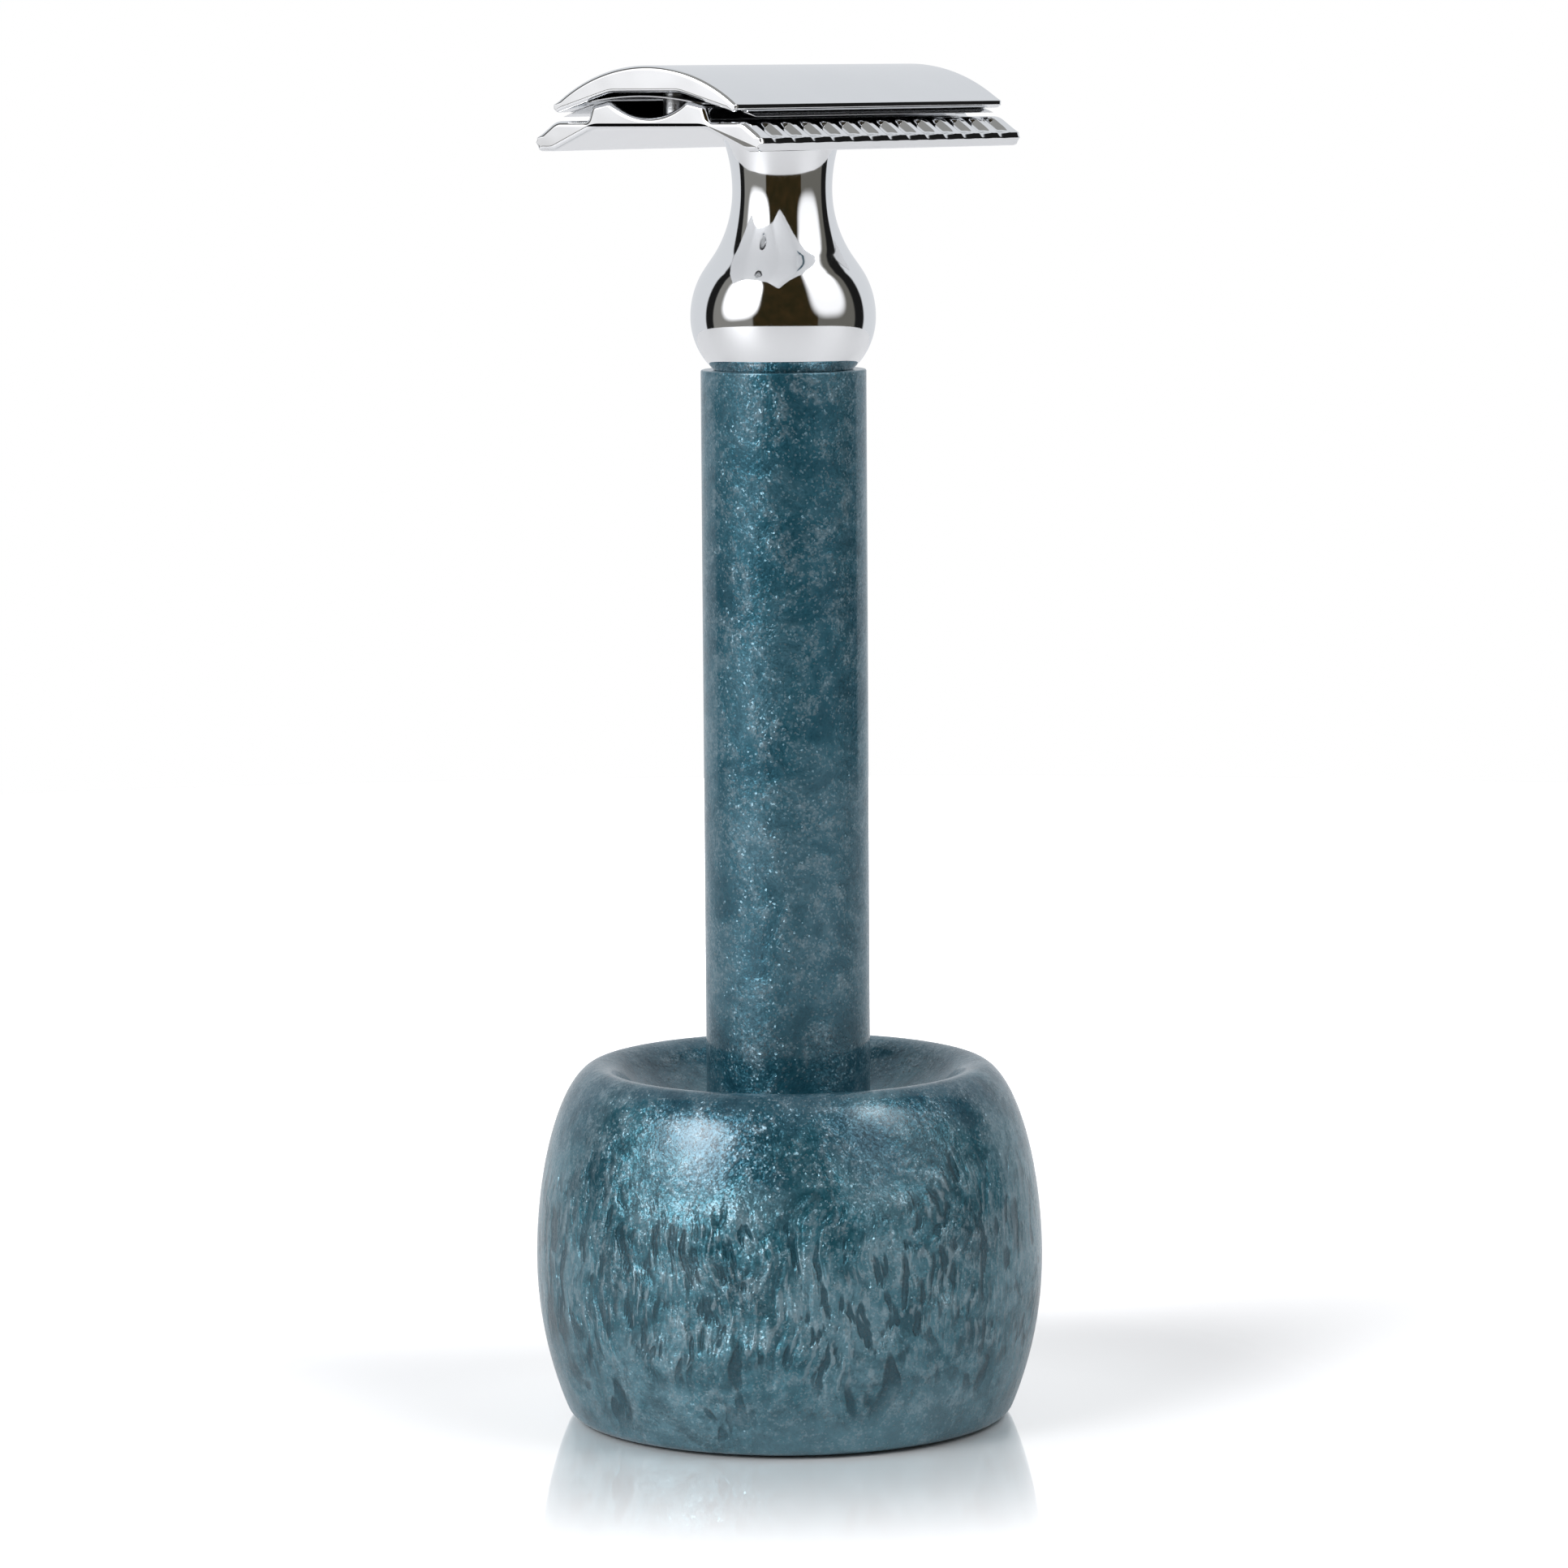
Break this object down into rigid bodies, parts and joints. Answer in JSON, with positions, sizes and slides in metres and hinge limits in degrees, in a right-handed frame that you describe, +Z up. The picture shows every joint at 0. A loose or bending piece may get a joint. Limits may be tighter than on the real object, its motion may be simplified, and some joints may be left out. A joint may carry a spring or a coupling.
{
  "type": "safety razor with stand",
  "caption": "Three-piece double-edge safety razor with a cylindrical resin grip and a chromed screw-on head, upright in a cup-shaped resin stand.",
  "frame": {"origin": "on the stand's axis, at the surface the stand rests on", "axes": "+Z up along the grip; +X along the long side of the razor's head, +Y across it, from blade edge to blade edge"},
  "size_m": [0.0474, 0.0474, 0.1259],
  "materials": {
    "pearl_resin": "polished cast resin, pearly blue-teal with darker swirls",
    "foot_rubber": "matt black soft pad",
    "insert_brass": "turned brass",
    "head_chrome": "polished chrome plate",
    "stud_steel": "turned steel",
    "blade_steel": "rolled stainless steel with ground edges"
  },
  "bodies": {
    "stand": {"stand_body": "pearl_resin", "stand_foot_pad": "foot_rubber"},
    "handle": {"handle_grip": "pearl_resin", "handle_insert": "insert_brass", "neck_ferrule": "head_chrome"},
    "guard": {"base_plate": "head_chrome"},
    "blade": {"razor_blade": "blade_steel"},
    "cap": {"cap_plate": "head_chrome", "cap_stud": "stud_steel", "cap_pin_left": "stud_steel", "cap_pin_right": "stud_steel"}
  },
  "joints": [
    {"name": "razor_lift", "type": "slide", "parent": "stand", "child": "handle", "axis": [0, 0, 1], "range_m": [0, 0.03]},
    {"name": "head_turn", "type": "hinge", "parent": "handle", "child": "guard", "pos_m": [0, 0, 0.1203], "axis": [0, 0, 1], "range_deg": [0, 2160]},
    {"name": "cap_rise", "type": "slide", "parent": "guard", "child": "cap", "axis": [0, 0, 1], "range_m": [0, 0.00481]},
    {"name": "blade_rise", "type": "slide", "parent": "guard", "child": "blade", "axis": [0, 0, 1], "range_m": [0, 0.00241]}
  ],
  "couplings": [
    {"joint": "cap_rise", "follows": "head_turn", "m_per_rad": 0.00012732},
    {"joint": "blade_rise", "follows": "head_turn", "m_per_rad": 0.000063662}
  ]
}
